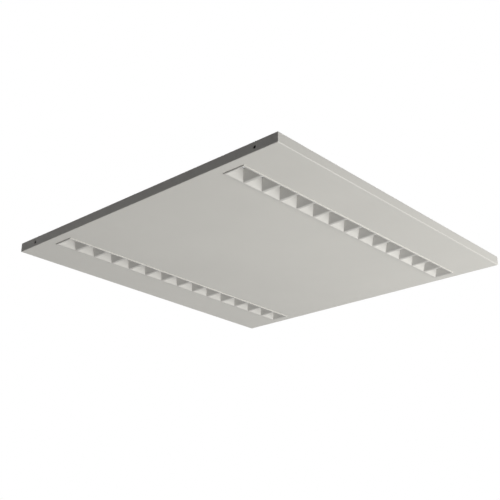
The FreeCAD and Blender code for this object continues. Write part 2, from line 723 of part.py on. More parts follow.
clevis_rivets = []
hinge_pins = []
pin_clips = []
for side, sign in SIDES:
    clevis_y = sign + " * hinge_offset"
    clevis_length = "clevis_back + clevis_front"
    clevis_x = "hinge_x + (clevis_front - clevis_back) / 2"
    base = block(clevis_x, clevis_y, "back_top", clevis_length, "clevis_width", "ear_gauge")
    ears = []
    for turn in ("-1", "1"):
        ear_y = "%s + %s * (ear_inner + ear_gauge / 2)" % (clevis_y, turn)
        ear_height = "hinge_z - back_top"
        ears.append(block("hinge_x", ear_y, "back_top", "2 * arm_eye_radius", "ear_gauge", ear_height))
        ear_start = "(%s) - ear_gauge / 2" % ear_y
        ears.append(rod("hinge_x", ear_start, "hinge_z", "arm_eye_radius", "ear_gauge", "y"))
    ear_bore = "pin_radius + pin_clearance / 5"
    ear_bore_start = "%s - ear_outer - 1" % clevis_y
    clevis_holes = [rod("hinge_x", ear_bore_start, "hinge_z", ear_bore, "2 * ear_outer + 2", "y")]
    for turn in ("-1", "1"):
        rivet_y = "%s + %s * (clevis_width / 2 + ear_outer) / 2" % (clevis_y, turn)
        spot = ("hinge_x - clevis_back / 2", rivet_y, "rim_top")
        clevis_holes.append(rivet_hole(spot, "back_gauge + ear_gauge"))
        back_openings.append(rivet_hole(spot, "back_gauge"))
        clevis_rivets.append(rivet(spot, "back_gauge + ear_gauge"))
    node("hinge_clevis_" + side, without(joined([base] + ears), clevis_holes))
    pin_start = "%s - ear_outer" % clevis_y
    pin = rod("hinge_x", pin_start, "hinge_z", "pin_radius", "2 * ear_outer + pin_tail", "y")
    pin_head = rod("hinge_x", pin_start + " - pin_head_length", "hinge_z", "1.7 * pin_radius",
                   "pin_head_length", "y")
    hinge_pins.append(joined([pin, pin_head]))
    clip_start = "%s + ear_outer + pin_clearance" % clevis_y
    clip = rod("hinge_x", clip_start, "hinge_z", "2 * pin_radius", "clip_gauge", "y")
    clip_bore = rod("hinge_x", clip_start + " - 1", "hinge_z", "pin_radius + pin_clearance",
                    "clip_gauge + 2", "y")
    clip_mouth = block("hinge_x", clip_start + " + clip_gauge / 2", "hinge_z - 3 * pin_radius",
                       "1.5 * pin_radius", "clip_gauge + 2", "2.2 * pin_radius")
    pin_clips.append(without(clip, [clip_bore, clip_mouth]))
pieces("clevis_rivets", clevis_rivets)
pieces("hinge_pins", hinge_pins)
pieces("hinge_pin_clips", pin_clips)


# Catch studs: turned pins on the back plate that snap between the catch springs.

catch_studs = []
for side, sign in SIDES:
    stud_y = sign + " * catch_offset"
    foot = rod("catch_x", stud_y, "back_top", "stud_foot_radius", "stud_foot_height")
    neck = rod("catch_x", stud_y, "back_top", "stud_neck_radius", "stud_height")
    knob = ball("catch_x", stud_y, "ball_z", "stud_ball_radius")
    stem = rod("catch_x", stud_y, "rim_top", "stud_stem_radius", "back_gauge + stud_foot_height / 2")
    swage = rod("catch_x", stud_y, "rim_top - rivet_tail_height", "rivet_tail_radius", "rivet_tail_height")
    back_openings.append(rod("catch_x", stud_y, "rim_top - 1", "stud_stem_radius + rivet_clearance",
                             "back_gauge + 2"))
    catch_studs.append(joined([foot, neck, knob, stem, swage]))
pieces("catch_studs", catch_studs)


# Driver: steel base with a plastic cover over the middle, circuit board between,
# and a terminal strip at each end.

driver_floor = "back_top + driver_gauge"
driver_board_z = "back_top + driver_gauge + driver_board_rise"
driver_screws = []
driver_holes = []
for turn in ("-1", "1"):
    screw_x = turn + " * (driver_length - driver_tab) / 2"
    driver_holes.append(screw_hole(screw_x, "driver_y", "back_top", "driver_screw_radius", "driver_gauge"))
    back_openings.append(screw_hole(screw_x, "driver_y", "rim_top", "driver_screw_radius", "back_gauge"))
    screw_tip = "rim_top - screw_reach"
    driver_screws.append(screw(screw_x, "driver_y", screw_tip, driver_floor, "driver_screw_radius"))
driver_plate = block("0", "driver_y", "back_top", "driver_length", "driver_width", "driver_gauge")
pillars = []
for sign_x, sign_y in CORNERS:
    pillar_x = sign_x + " * (driver_length / 2 - 2 * driver_end)"
    pillar_y = "driver_y + %s * (driver_width / 2 - driver_shell - 2 * pillar_radius)" % sign_y
    pillars.append(rod(pillar_x, pillar_y, "back_top", "pillar_radius", "driver_gauge + driver_board_rise"))
node("driver_base", without(joined([driver_plate] + pillars), driver_holes))
pieces("driver_screws", driver_screws)

board_side_gap = "2 * driver_shell + 4 * lead_clearance"
driver_board = block("0", "driver_y", driver_board_z, "driver_length - 2 * driver_tab",
                     "driver_width - (%s)" % board_side_gap, "driver_board_gauge")
node("driver_circuit_board", driver_board)

cover_length = "driver_length - 2 * driver_end"
cover_height = "driver_height - driver_gauge"
cover_outer = block("0", "driver_y", driver_floor, cover_length, "driver_width", cover_height)
cover_outer = rounded(cover_outer, "driver_shell", is_upright)
cover_outer = rounded(cover_outer, "driver_shell", is_level_at("back_top + driver_height"))
cover_inner = block("0", "driver_y", driver_floor, "%s - 2 * driver_shell" % cover_length,
                    "driver_width - 2 * driver_shell", "%s - driver_shell" % cover_height)
cover_gate = block("0", "driver_y", driver_floor, "driver_length", "driver_width - 2 * driver_shell",
                   "driver_board_rise + driver_board_gauge + 4 * lead_clearance")
node("driver_cover", without(cover_outer, [cover_inner, cover_gate]))

on_board = driver_board_z + " + driver_board_gauge"
room = "driver_height - driver_gauge - driver_board_rise - driver_board_gauge - driver_shell - headroom"
components = [
    block("driver_length / 8", "driver_y", on_board, "transformer_length", "transformer_width", room),
    block("-driver_length / 8", "driver_y", on_board, "choke_length", "choke_width", room + " - headroom"),
    rod("-driver_length / 4", "driver_y - capacitor_radius - 0.5", on_board, "capacitor_radius", room),
    rod("-driver_length / 4", "driver_y + capacitor_radius + 0.5", on_board, "capacitor_radius", room),
    rod("driver_length / 4", "driver_y", on_board, "reservoir_radius", room + " - headroom / 2"),
]
pieces("driver_components", components)

strip_length = "driver_end - driver_tab"
strips = {
    "driver_input_terminal": ("-1", ("gear_offset", "gear_offset + pole_pitch")),
    "driver_output_terminal": ("1", ("driver_y - 1.5 * lead_spacing", "driver_y - 0.5 * lead_spacing",
                                     "driver_y + 0.5 * lead_spacing", "driver_y + 1.5 * lead_spacing")),
}
lead_end_z = on_board + " + strip_height / 2"
for name, (end, poles) in strips.items():
    strip_x = "%s * (driver_length / 2 - (driver_end + driver_tab) / 2 - lead_clearance)" % end
    strip = block(strip_x, "driver_y", on_board, strip_length + " - 2 * lead_clearance",
                  "driver_width - 4 * driver_shell", "strip_height")
    ways = []
    for pole in poles:
        way_x = "%s * (driver_length / 2 - driver_tab) - lead_socket" % end
        ways.append(rod(way_x, pole, lead_end_z, "lead_radius + lead_clearance", "2 * lead_socket", "x"))
        ways.append(block(strip_x, pole, on_board + " + strip_height - lead_radius", "2 * lead_radius",
                          "1.5 * lead_radius", "2 * lead_radius"))
    node(name, without(strip, ways))


# Supply terminal block: insulating housing with three poles, a release button over each.

block_width = "3 * pole_pitch + 2 * block_side_wall"
block_mid = "(block_x + block_end) / 2"
housing = block(block_mid, "gear_offset", "back_top", "block_length", block_width, "block_height")
housing = rounded(housing, "block_side_wall / 3", is_upright)
button_x = "block_x + block_length / 3"
well_depth = "button_depth + button_travel + button_clearance"
chamber_length = "block_length - 2 * block_side_wall"
housing_openings = []
contacts = []
buttons = []
for pole, step in (("earth", "-1"), ("neutral", "0"), ("line", "1")):
    pole_y = "gear_offset + %s * pole_pitch" % step
    housing_openings.append(block(block_mid, pole_y, "pole_z - pole_chamber / 2", chamber_length,
                                  "pole_chamber", "pole_chamber"))
    housing_openings.append(block(block_mid, pole_y, "pole_z - pole_entry / 2", "block_length + 2",
                                  "pole_entry", "pole_entry"))
    well_length = "button_length + 2 * button_clearance"
    well_width = "button_width + 2 * button_clearance"
    housing_openings.append(block(button_x, pole_y, "block_top - (%s)" % well_depth, well_length, well_width,
                                  well_depth + " + 1"))
    contacts.append(block(button_x, pole_y, "pole_z - pole_chamber / 2", "contact_length",
                          "pole_chamber - 2 * lead_clearance", "contact_gauge"))
    button = block(button_x, pole_y, "block_top - button_depth", "button_length", "button_width",
                   "button_depth + button_proud")
    slit = block(button_x, pole_y, "block_top + button_proud / 2", "button_length / 2", "button_width / 6",
                 "button_proud")
    buttons.append((pole, without(button, [slit])))
block_screws = []
for turn in ("-1", "1"):
    screw_y = "gear_offset + %s * pole_pitch / 2" % turn
    screw_x = "block_end - block_screw_inset"
    screw_seat = "block_top - block_screw_sink"
    housing_openings.append(screw_hole(screw_x, screw_y, "back_top", "block_screw_radius", "block_height"))
    housing_openings.append(rod(screw_x, screw_y, screw_seat, "2 * block_screw_radius + screw_clearance",
                                "block_screw_sink + 1"))
    back_openings.append(screw_hole(screw_x, screw_y, "rim_top", "block_screw_radius", "back_gauge"))
    block_screws.append(screw(screw_x, screw_y, "rim_top - screw_reach", screw_seat, "block_screw_radius"))
node("terminal_block", without(housing, housing_openings))
pieces("terminal_contacts", contacts)
pieces("terminal_block_screws", block_screws)
for pole, button in buttons:
    node("release_button_" + pole, button)


# Leads: insulated wires with rounded bends, clipped to the back plate.

def lead(stops, bend):
    """Round wire along straight runs joined by arcs of one bend radius."""
    points = [FreeCAD.Vector(*[number(text) for text in stop]) for stop in stops]
    edges = []
    start = points[0]
    for before, corner, after in zip(points, points[1:], points[2:]):
        into = (corner - before).normalize()
        away = (after - corner).normalize()
        turn = into.getAngle(away)
        reach = bend * math.tan(turn / 2)
        arc_start = corner - into * reach
        arc_end = corner + away * reach
        inward = (away - into).normalize()
        middle = corner + inward * (bend / math.cos(turn / 2) - bend)
        edges.append(Part.makeLine(start, arc_start))
        edges.append(Part.Arc(arc_start, middle, arc_end).toShape())
        start = arc_end
    edges.append(Part.makeLine(start, points[-1]))
    spine = Part.Wire(edges)
    ring = Part.Wire(Part.makeCircle(number("lead_radius"), points[0], points[1] - points[0]))
    wire = doc.addObject("Part::Feature", "Lead")
    wire.Shape = spine.makePipeShell([ring], True, False)
    return wire


lead_bend = 4 * number("lead_radius")
tight_bend = 2 * number("lead_radius")
low_z = "back_top + lead_radius + lead_clearance / 2"
block_exit = "block_end - lead_socket"
driver_edge = "driver_length / 2"
driver_way = "driver_length / 2 - driver_tab - lead_socket + lead_clearance"
for name, pole in (("lead_line", "gear_offset + pole_pitch"), ("lead_neutral", "gear_offset")):
    node(name, lead([(block_exit, pole, "pole_z"), ("block_end + lead_socket", pole, "pole_z"),
                     ("-%s + lead_socket" % driver_edge, pole, lead_end_z),
                     ("-(%s)" % driver_way, pole, lead_end_z)], lead_bend))
earth_pole = "gear_offset - pole_pitch"
barrel_end = "earth_y + earth_barrel_reach"
node("lead_earth", lead([(block_exit, earth_pole, "pole_z"), ("earth_x", earth_pole, "pole_z"),
                         ("earth_x", "%s - earth_drop / 3" % earth_pole, "pole_z"),
                         ("earth_x", "%s + earth_drop / 8" % barrel_end, low_z),
                         ("earth_x", "%s - lead_socket" % barrel_end, low_z)], lead_bend))

led_leads = {"positive": [], "negative": []}
for side, sign in SIDES:
    for name, inner in (("positive", "1.5"), ("negative", "0.5")):
        pole = "driver_y + %s * %s * lead_spacing" % (sign, inner)
        turn_x = "connector_x + (1 - %s) * lead_spacing" % inner
        down_y = "%s * bush_y" % sign
        plug_y = "%s * (row_y - board_width / 2 - connector_width / 2 + lead_socket - lead_clearance)" % sign
        led_leads[name].append(lead([
            (driver_way, pole, lead_end_z), (driver_edge + " + lead_socket", pole, lead_end_z),
            (driver_edge + " + block_gap - 2 * lead_spacing", pole, low_z), (turn_x, pole, low_z),
            (turn_x, down_y, low_z), (turn_x, down_y, "connector_z"), (turn_x, plug_y, "connector_z")],
            tight_bend))
pieces("diode_leads_positive", led_leads["positive"])
pieces("diode_leads_negative", led_leads["negative"])

lead_bushes = []
for side, sign in SIDES:
    bush_line = "%s * bush_y" % sign
    collar_z = "rim_top - bush_flange"
    neck = rod("connector_x", bush_line, collar_z, "bush_bore + bush_wall", "back_gauge + bush_flange")
    collar = rod("connector_x", bush_line, collar_z, "bush_bore + 2 * bush_wall", "bush_flange")
    bore = rod("connector_x", bush_line, collar_z + " - 1", "bush_bore", "back_gauge + bush_flange + 2")
    lead_bushes.append(without(joined([neck, collar]), [bore]))
    back_openings.append(rod("connector_x", bush_line, "rim_top - 1",
                             "bush_bore + bush_wall + lead_clearance / 5", "back_gauge + 2"))
pieces("lead_bushes", lead_bushes)

lead_clips = []
tunnel_width = "lead_spacing + 2 * lead_radius + 3 * lead_clearance"
tunnel_height = "2 * lead_radius + 1.5 * lead_clearance"
clip_places = ["driver_y - clip_first - %d * clip_step" % index for index in range(3)]
for clip_y in clip_places + ["driver_y + clip_right"]:
    saddle = block("connector_x", clip_y, "back_top", tunnel_width + " + 4 * clip_wall", "clip_length",
                   tunnel_height + " + clip_wall")
    tunnel = block("connector_x", clip_y, "back_top", tunnel_width, "clip_length + 2", tunnel_height)
    lead_clips.append(without(saddle, [tunnel]))
pieces("lead_clips", lead_clips)

# Earth: the earth lead ends in a ring under a screw in the back plate.

ring_reach = "(2 * earth_screw_radius + earth_ring_margin)"
ring_plate = rod("earth_x", "earth_y", "back_top", ring_reach, "earth_ring_gauge")
barrel_start = "earth_y + 2 * earth_screw_radius + screw_clearance"
ring_barrel = rod("earth_x", barrel_start, low_z, "lead_radius + earth_barrel_wall",
                  "%s - (%s)" % (barrel_end, barrel_start), "y")
ring_bore = rod("earth_x", "%s - lead_socket" % barrel_end, low_z, "lead_radius + lead_clearance / 5",
                "lead_socket + 1", "y")
ring_hole = screw_hole("earth_x", "earth_y", "back_top", "earth_screw_radius", "2 * earth_ring_gauge")
ring_under = block("earth_x", "earth_y", "back_top - 4 * lead_radius", "4 * " + ring_reach,
                   "4 * earth_barrel_reach", "4 * lead_radius")
node("earth_ring", without(joined([ring_plate, ring_barrel]), [ring_bore, ring_hole, ring_under]))
back_openings.append(screw_hole("earth_x", "earth_y", "rim_top", "earth_screw_radius", "back_gauge"))
node("earth_screw", screw("earth_x", "earth_y", "rim_top - screw_reach", "back_top + earth_ring_gauge",
                          "earth_screw_radius"))

node("back_plate", without(back_outer, back_openings))


# Recompute, look at every object and write one file for each piece.

doc.recompute()
for item in doc.Objects:
    if "Invalid" in item.State or "Error" in item.State:
        raise RuntimeError("%s (%s) did not compute" % (item.Name, item.Label))
for piece in NODES:
    if piece.Shape.isNull() or not piece.Shape.isValid() or not piece.Shape.Solids:
        raise RuntimeError("%s has no valid solid" % piece.Label)
os.makedirs("parts", exist_ok=True)
for piece in NODES:
    piece.Shape.exportStep("parts/%s.step" % piece.Label)
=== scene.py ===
import math

import bpy
import numpy as np
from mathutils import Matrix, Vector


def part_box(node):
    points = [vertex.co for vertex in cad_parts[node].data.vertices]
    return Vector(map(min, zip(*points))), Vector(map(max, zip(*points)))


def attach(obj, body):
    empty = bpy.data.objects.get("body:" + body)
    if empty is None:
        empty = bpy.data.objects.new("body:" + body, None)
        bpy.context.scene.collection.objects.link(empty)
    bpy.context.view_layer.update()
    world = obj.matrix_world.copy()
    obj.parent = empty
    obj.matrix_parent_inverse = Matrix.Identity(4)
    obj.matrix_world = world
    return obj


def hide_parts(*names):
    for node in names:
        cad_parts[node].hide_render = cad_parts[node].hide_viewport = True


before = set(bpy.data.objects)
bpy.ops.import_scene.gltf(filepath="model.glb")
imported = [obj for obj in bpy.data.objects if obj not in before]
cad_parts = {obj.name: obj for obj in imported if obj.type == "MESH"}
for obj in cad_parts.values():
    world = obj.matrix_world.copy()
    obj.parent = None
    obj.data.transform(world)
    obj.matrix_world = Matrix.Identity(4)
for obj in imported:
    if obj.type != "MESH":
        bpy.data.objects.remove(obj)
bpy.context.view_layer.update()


# Ceiling pan
# A shallow pan folded from 1 mm steel sheet and powder coated white on all its faces.
# Its four slotted pads are screwed to the ceiling, and everything else hangs from it.

def shader_socket(finish, name):
    """Socket of a material's main shader, by its name."""
    return finish.node_tree.nodes["Principled BSDF"].inputs[name]


def start_finish(name, colour, roughness, metallic=0.0):
    """New material whose plain values stand on the shader's own sockets."""
    finish = bpy.data.materials.new(name)
    finish.use_nodes = True
    shader_socket(finish, "Base Color").default_value = (*colour, 1.0)
    shader_socket(finish, "Roughness").default_value = roughness
    shader_socket(finish, "Metallic").default_value = metallic
    return finish


def feed(finish, socket, value):
    """Links an output to a socket, or sets the socket's own value."""
    if isinstance(value, bpy.types.NodeSocket):
        finish.node_tree.links.new(value, socket)
    else:
        socket.default_value = value


def add_node(finish, kind, **sockets):
    """One node of a material, with values set or other nodes' outputs linked to its named sockets."""
    node = finish.node_tree.nodes.new(kind)
    for name, value in sockets.items():
        feed(finish, node.inputs[name.replace("_", " ")], value)
    return node


def object_place(finish, stretch=(1.0, 1.0, 1.0)):
    """Object coordinates in metres, drawn out along an axis where its stretch is under 1."""
    coordinates = add_node(finish, "ShaderNodeTexCoord")
    return add_node(finish, "ShaderNodeMapping", Vector=coordinates.outputs["Object"],
                    Scale=stretch).outputs["Vector"]


def grain(finish, per_metre, detail=3.0, stretch=(1.0, 1.0, 1.0)):
    """Noise from 0 to 1 with so many grains to the metre."""
    noise = add_node(finish, "ShaderNodeTexNoise", Vector=object_place(finish, stretch),
                     Scale=per_metre, Detail=detail, Roughness=0.55)
    return noise.outputs["Fac"]


def tint(finish, amount, low, high, start=0.3, end=0.7):
    """Base colour that goes from low to high as an amount goes from start to end."""
    ramp = add_node(finish, "ShaderNodeValToRGB", Fac=amount)
    ramp.color_ramp.elements[0].position = start
    ramp.color_ramp.elements[0].color = (*low, 1.0)
    ramp.color_ramp.elements[1].position = end
    ramp.color_ramp.elements[1].color = (*high, 1.0)
    feed(finish, shader_socket(finish, "Base Color"), ramp.outputs["Color"])


def gloss(finish, amount, low, high):
    """Roughness that goes from low to high with an amount from 0 to 1."""
    spread = add_node(finish, "ShaderNodeMapRange", Value=amount, To_Min=low, To_Max=high)
    feed(finish, shader_socket(finish, "Roughness"), spread.outputs["Result"])


def relief(finish, amount, height, strength=0.5):
    """Bump whose full height, in metres, is that of the amount at 1."""
    bump = add_node(finish, "ShaderNodeBump", Height=amount, Strength=strength, Distance=height)
    feed(finish, shader_socket(finish, "Normal"), bump.outputs["Normal"])


def shaded(colour, share):
    """A colour made lighter or darker by a share."""
    return tuple(channel * share for channel in colour)


def powder_coat(name, colour):
    """Baked powder paint: soft cloudy tone, satin gloss and a fine orange peel skin."""
    finish = start_finish(name, colour, roughness=0.54)
    tint(finish, grain(finish, per_metre=5.0), shaded(colour, 0.975), shaded(colour, 1.02))
    gloss(finish, grain(finish, per_metre=60.0), low=0.48, high=0.60)
    relief(finish, grain(finish, per_metre=900.0, detail=2.0), height=0.00004, strength=0.35)
    return finish


def dress(finish, *nodes):
    """Puts a finish into the material slots of carried-over nodes."""
    for name in nodes:
        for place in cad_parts[name].material_slots:
            place.material = finish


powder_white = (0.66, 0.648, 0.612)
dress(powder_coat("pan_powder_coat", powder_white), "ceiling_pan")


# Cable grommet
# A moulded black rubber ring snapped into the middle hole of the pan, for the supply cable.
# The two bushes round the diode leads in the back plate are of the same rubber.

def rubber(name, colour):
    """Matt rubber with a pale bloom in patches and a dull, slightly pitted skin."""
    finish = start_finish(name, colour, roughness=0.75)
    bloom = grain(finish, per_metre=220.0, detail=5.0)
    tint(finish, bloom, shaded(colour, 0.8), shaded(colour, 1.9), start=0.35, end=0.8)
    gloss(finish, grain(finish, per_metre=500.0), low=0.62, high=0.85)
    relief(finish, grain(finish, per_metre=1500.0), height=0.00005)
    return finish


dress(rubber("grommet_rubber", (0.022, 0.022, 0.023)), "cable_grommet", "lead_bushes")


# Hinge arms and other plated pieces
# Two zinc plated steel brackets, riveted to the far wall of the pan, end in eyes for the hinge pins.
# The pins, the clevises that hold them, the studs, rivets and screws have the same plating.

def zinc_plate(name, colour, smooth, dull):
    """Bright zinc on rolled steel: faint rolling streaks, uneven gloss, cloudy tone."""
    finish = start_finish(name, colour, roughness=smooth, metallic=1.0)
    tint(finish, grain(finish, per_metre=90.0, detail=4.0), shaded(colour, 0.86), shaded(colour, 1.08))
    streaks = grain(finish, per_metre=260.0, detail=4.0, stretch=(1.0, 0.12, 1.0))
    gloss(finish, streaks, low=smooth, high=dull)
    rolling = grain(finish, per_metre=1200.0, detail=3.0, stretch=(1.0, 0.08, 1.0))
    relief(finish, rolling, height=0.00002, strength=0.3)
    return finish


bright_zinc = zinc_plate("bright_zinc", (0.62, 0.635, 0.66), smooth=0.24, dull=0.42)
dress(bright_zinc, "hinge_arm_left", "hinge_arm_right", "hinge_arm_rivets", "hinge_clevis_left",
      "hinge_clevis_right", "clevis_rivets", "hinge_pins", "back_plate_screws", "board_screws",
      "driver_screws", "terminal_block_screws", "earth_screw", "catch_spring_rivets", "catch_studs")


# Catch springs and pin clips
# Two leaf springs folded from tempered strip, riveted under the top of the pan.
# They snap over the ball studs of the panel; the hinge pins have clips of the same steel.

def spring_strip(name, colour, straw):
    """Tempered strip steel, brushed along its length, with patches of a straw heat tone."""
    finish = start_finish(name, colour, roughness=0.3, metallic=1.0)
    tint(finish, grain(finish, per_metre=130.0, detail=2.0), shaded(colour, 0.8), straw)
    brushing = grain(finish, per_metre=700.0, detail=2.0, stretch=(0.1, 1.0, 1.0))
    gloss(finish, brushing, low=0.2, high=0.42)
    scratches = grain(finish, per_metre=2500.0, detail=2.0, stretch=(0.05, 1.0, 1.0))
    relief(finish, scratches, height=0.00001, strength=0.4)
    return finish


spring_steel = spring_strip("spring_steel", (0.36, 0.37, 0.40), straw=(0.50, 0.47, 0.42))
dress(spring_steel, "catch_springs", "hinge_pin_clips")


# Front tray
# The square tray is folded from 0.8 mm steel with closed corners and powder coated white.
# Two long slots take the louvres, and two small holes in one rim take pull-down hooks.

tray_gauge = 0.0008
dress(powder_coat("tray_powder_coat", powder_white), "front_tray")


# Louvres
# Each row is one white moulding of square reflector cells that stands proud of the tray.
# It drops into its slot from behind, and a flange inside the tray holds it.

def moulded_plastic(name, colour, low, high, peel=0.00003):
    """Moulded plastic: even colour with slow flow clouds, satin skin, fine eroded texture."""
    finish = start_finish(name, colour, roughness=low)
    tint(finish, grain(finish, per_metre=25.0, detail=2.0), shaded(colour, 0.97), shaded(colour, 1.02))
    gloss(finish, grain(finish, per_metre=180.0), low, high)
    relief(finish, grain(finish, per_metre=2200.0, detail=2.0), height=peel, strength=0.3)
    return finish


cell_count = 14
cell_pitch = 0.040
row_width = 0.040
rib_flat = 0.0016
rib_round = 0.0035
rib_steps = 8
lip_flat = 0.0014
lip_edge = 0.0004
lip_steps = 5
aperture = 0.009
moulding_wall = 0.0014
flange_width = 0.004
cell_centres = (np.arange(cell_count) - (cell_count - 1) / 2) * cell_pitch


def cell_section(lip, plate_top, cell_top, rib_end):
    """Half lengths, half widths and levels of the rings of one cell, all the way round its wall:
    flat of the rib, an arc from level to the slope of the wall, the aperture and its outer edge,
    then down the back of the wall to the plate between the cells."""
    mouth = np.array([cell_pitch - rib_flat, row_width - 2 * lip_flat]) / 2
    run = mouth.mean() - aperture / 2
    climb = cell_top - lip - rib_round
    slope = np.arctan2(climb, run) + np.arcsin(rib_round / np.hypot(run, climb))
    turn = np.linspace(0.0, slope, rib_steps)
    arc = mouth - rib_round * np.sin(turn)[:, None]
    arc_level = lip + rib_round * (1.0 - np.cos(turn))
    share = (plate_top - arc_level[-1]) / (cell_top - arc_level[-1])
    back_foot = arc[-1] + share * (aperture / 2 - arc[-1]) + moulding_wall
    back_top = np.full(2, aperture / 2 + moulding_wall)
    edge = np.array([cell_pitch / 2, rib_end])
    halves = np.vstack([edge, arc, np.full(2, aperture / 2), back_top, back_foot, edge])
    levels = np.concatenate([[lip], arc_level, [cell_top, cell_top, plate_top, plate_top]])
    return halves, levels


def ring_quads(rings, columns):
    """Quads between closed rings of points; they face left of the way from ring to ring."""
    ring = columns * np.arange(rings - 1)[:, None]
    column = np.arange(columns)
    after = (column + 1) % columns
    corners = [ring + column, ring + columns + column, ring + columns + after, ring + after]
    return np.stack(np.broadcast_arrays(*corners), axis=-1).reshape(-1, 4)


def cell_rows(row_y, halves, levels):
    """Points and quads of all the cells of a row: each ring of a cell is a rectangle of 4 corners."""
    corner_x = np.array([-1.0, 1.0, 1.0, -1.0])
    corner_y = np.array([-1.0, -1.0, 1.0, 1.0])
    x = cell_centres[:, None, None] + corner_x * halves[:, :1]
    y = np.broadcast_to(row_y + corner_y * halves[:, 1:], x.shape)
    z = np.broadcast_to(levels[:, None], x.shape)
    quads = ring_quads(len(levels), len(corner_x))
    step = len(corner_x) * len(levels) * np.arange(cell_count)[:, None, None]
    return np.stack([x, y, z], axis=-1).reshape(-1, 3), (quads + step).reshape(-1, 4)


def row_skirt(row_y, row_half, lip, flange_low, plate_top):
    """Points and quads round a row: the lip's rounded outer edge, its side and the flange, as rings
    that follow the ends of the ribs along both long sides."""
    reach = row_half - cell_count * cell_pitch / 2
    turn = np.linspace(0.0, np.pi / 2, lip_steps)
    outward = np.concatenate([[0.0], reach - lip_edge + lip_edge * np.sin(turn), [reach],
                              np.full(2, reach + flange_width), [0.0]])
    level = np.concatenate([[lip], lip + lip_edge * (1.0 - np.cos(turn)), [flange_low],
                            [flange_low, plate_top, plate_top]])
    rib_x = (np.arange(cell_count + 1) - cell_count / 2) * cell_pitch
    path_x = np.concatenate([rib_x[::-1], rib_x])
    path_side = np.repeat([-1.0, 1.0], cell_count + 1)
    at_end = np.isclose(np.abs(path_x), rib_x[-1])
    x = path_x + np.where(at_end, np.sign(path_x), 0.0) * outward[:, None]
    y = row_y + path_side * (row_width / 2 - reach + outward[:, None])
    z = np.broadcast_to(level[:, None], x.shape)
    return np.stack([x, y, z], axis=-1).reshape(-1, 3), ring_quads(len(level), len(path_x))


def welded(parts, digits=8):
    """Points and faces of several surfaces as one, with points that coincide made one point."""
    starts = np.cumsum([0] + [len(points) for points, faces in parts])
    all_points = np.concatenate([points for points, faces in parts])
    all_faces = np.concatenate([faces + start for (points, faces), start in zip(parts, starts)])
    shared, index = np.unique(np.round(all_points, digits), axis=0, return_inverse=True)
    return shared, index.reshape(-1)[all_faces].tolist()


def mesh_object(name, points, faces, finish):
    """Mesh object at the origin from an array of points and a list of faces."""
    mesh = bpy.data.meshes.new(name)
    mesh.from_pydata(points.reshape(-1, 3).tolist(), [], faces)
    mesh.validate()
    mesh.materials.append(finish)
    piece = bpy.data.objects.new(name, mesh)
    bpy.context.scene.collection.objects.link(piece)
    return piece


def smooth_piece(name, points, faces, finish, smooth_degrees=30.0):
    """Mesh object that is smooth over all edges flatter than an angle."""
    piece = mesh_object(name, points, faces, finish)
    piece.data.shade_smooth()
    piece.data.set_sharp_from_angle(angle=math.radians(smooth_degrees))
    return piece


def fit_in_panel(piece, replaced):
    """Lets a piece ride on the panel in place of a node, which is hidden."""
    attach(piece, "light_panel")
    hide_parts(replaced)


louvre_plastic = moulded_plastic("louvre_plastic", (0.63, 0.618, 0.59), low=0.62, high=0.74)
for side in ("left", "right"):
    low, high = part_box("louvre_" + side)
    row_y = (low[1] + high[1]) / 2
    row_half = (high[0] - low[0]) / 2 - flange_width
    flange_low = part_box("front_tray")[0][2] + tray_gauge
    plate_top = flange_low + moulding_wall
    rib_end = row_width / 2 - row_half + cell_count * cell_pitch / 2
    cells = cell_rows(row_y, *cell_section(low[2], plate_top, high[2], rib_end))
    skirt = row_skirt(row_y, row_half, low[2], flange_low, plate_top)
    piece = smooth_piece("louvre_cells_" + side, *welded([cells, skirt]), louvre_plastic, smooth_degrees=25.0)
    fit_in_panel(piece, "louvre_" + side)


# Lenses
# A clear moulded cap over each diode: a square foot on top of the cell, a pocket that clears
# the diode, and a domed front that looks out of the aperture.

def clear_plastic(name):
    """Clear polished plastic with a faint uneven polish."""
    finish = start_finish(name, (0.95, 0.96, 0.96), roughness=0.04)
    shader_socket(finish, "Transmission Weight").default_value = 1.0
    shader_socket(finish, "IOR").default_value = 1.49
    gloss(finish, grain(finish, per_metre=300.0), low=0.02, high=0.08)
    return finish


def turned_row(row_y, radii, squareness, levels, columns):
    """One small closed solid in each cell of a row, as rings round an upright axis from top to bottom.
    A ring is a circle at squareness 0 and a square at 1: its reach is the radius over the larger of
    sine and cosine to that power. Flat polygons close the first and the last ring."""
    turn = 2.0 * np.pi * np.arange(columns) / columns
    larger = np.maximum(np.abs(np.cos(turn)), np.abs(np.sin(turn)))
    reach = radii[:, None] / larger ** squareness[:, None]
    ring_z = np.broadcast_to(levels[:, None], reach.shape)
    rings = np.stack([reach * np.cos(turn), row_y + reach * np.sin(turn), ring_z], axis=-1).reshape(-1, 3)
    along = np.stack([cell_centres, 0.0 * cell_centres, 0.0 * cell_centres], axis=-1)
    points = (rings + along[:, None]).reshape(-1, 3)
    step = len(rings) * np.arange(cell_count)[:, None, None]
    quads = (ring_quads(len(levels), columns) + step).reshape(-1, 4)
    first = np.arange(columns) + step[:, 0]
    last = first[:, ::-1] + len(rings) - columns
    return points, quads.tolist() + np.concatenate([first, last]).tolist()


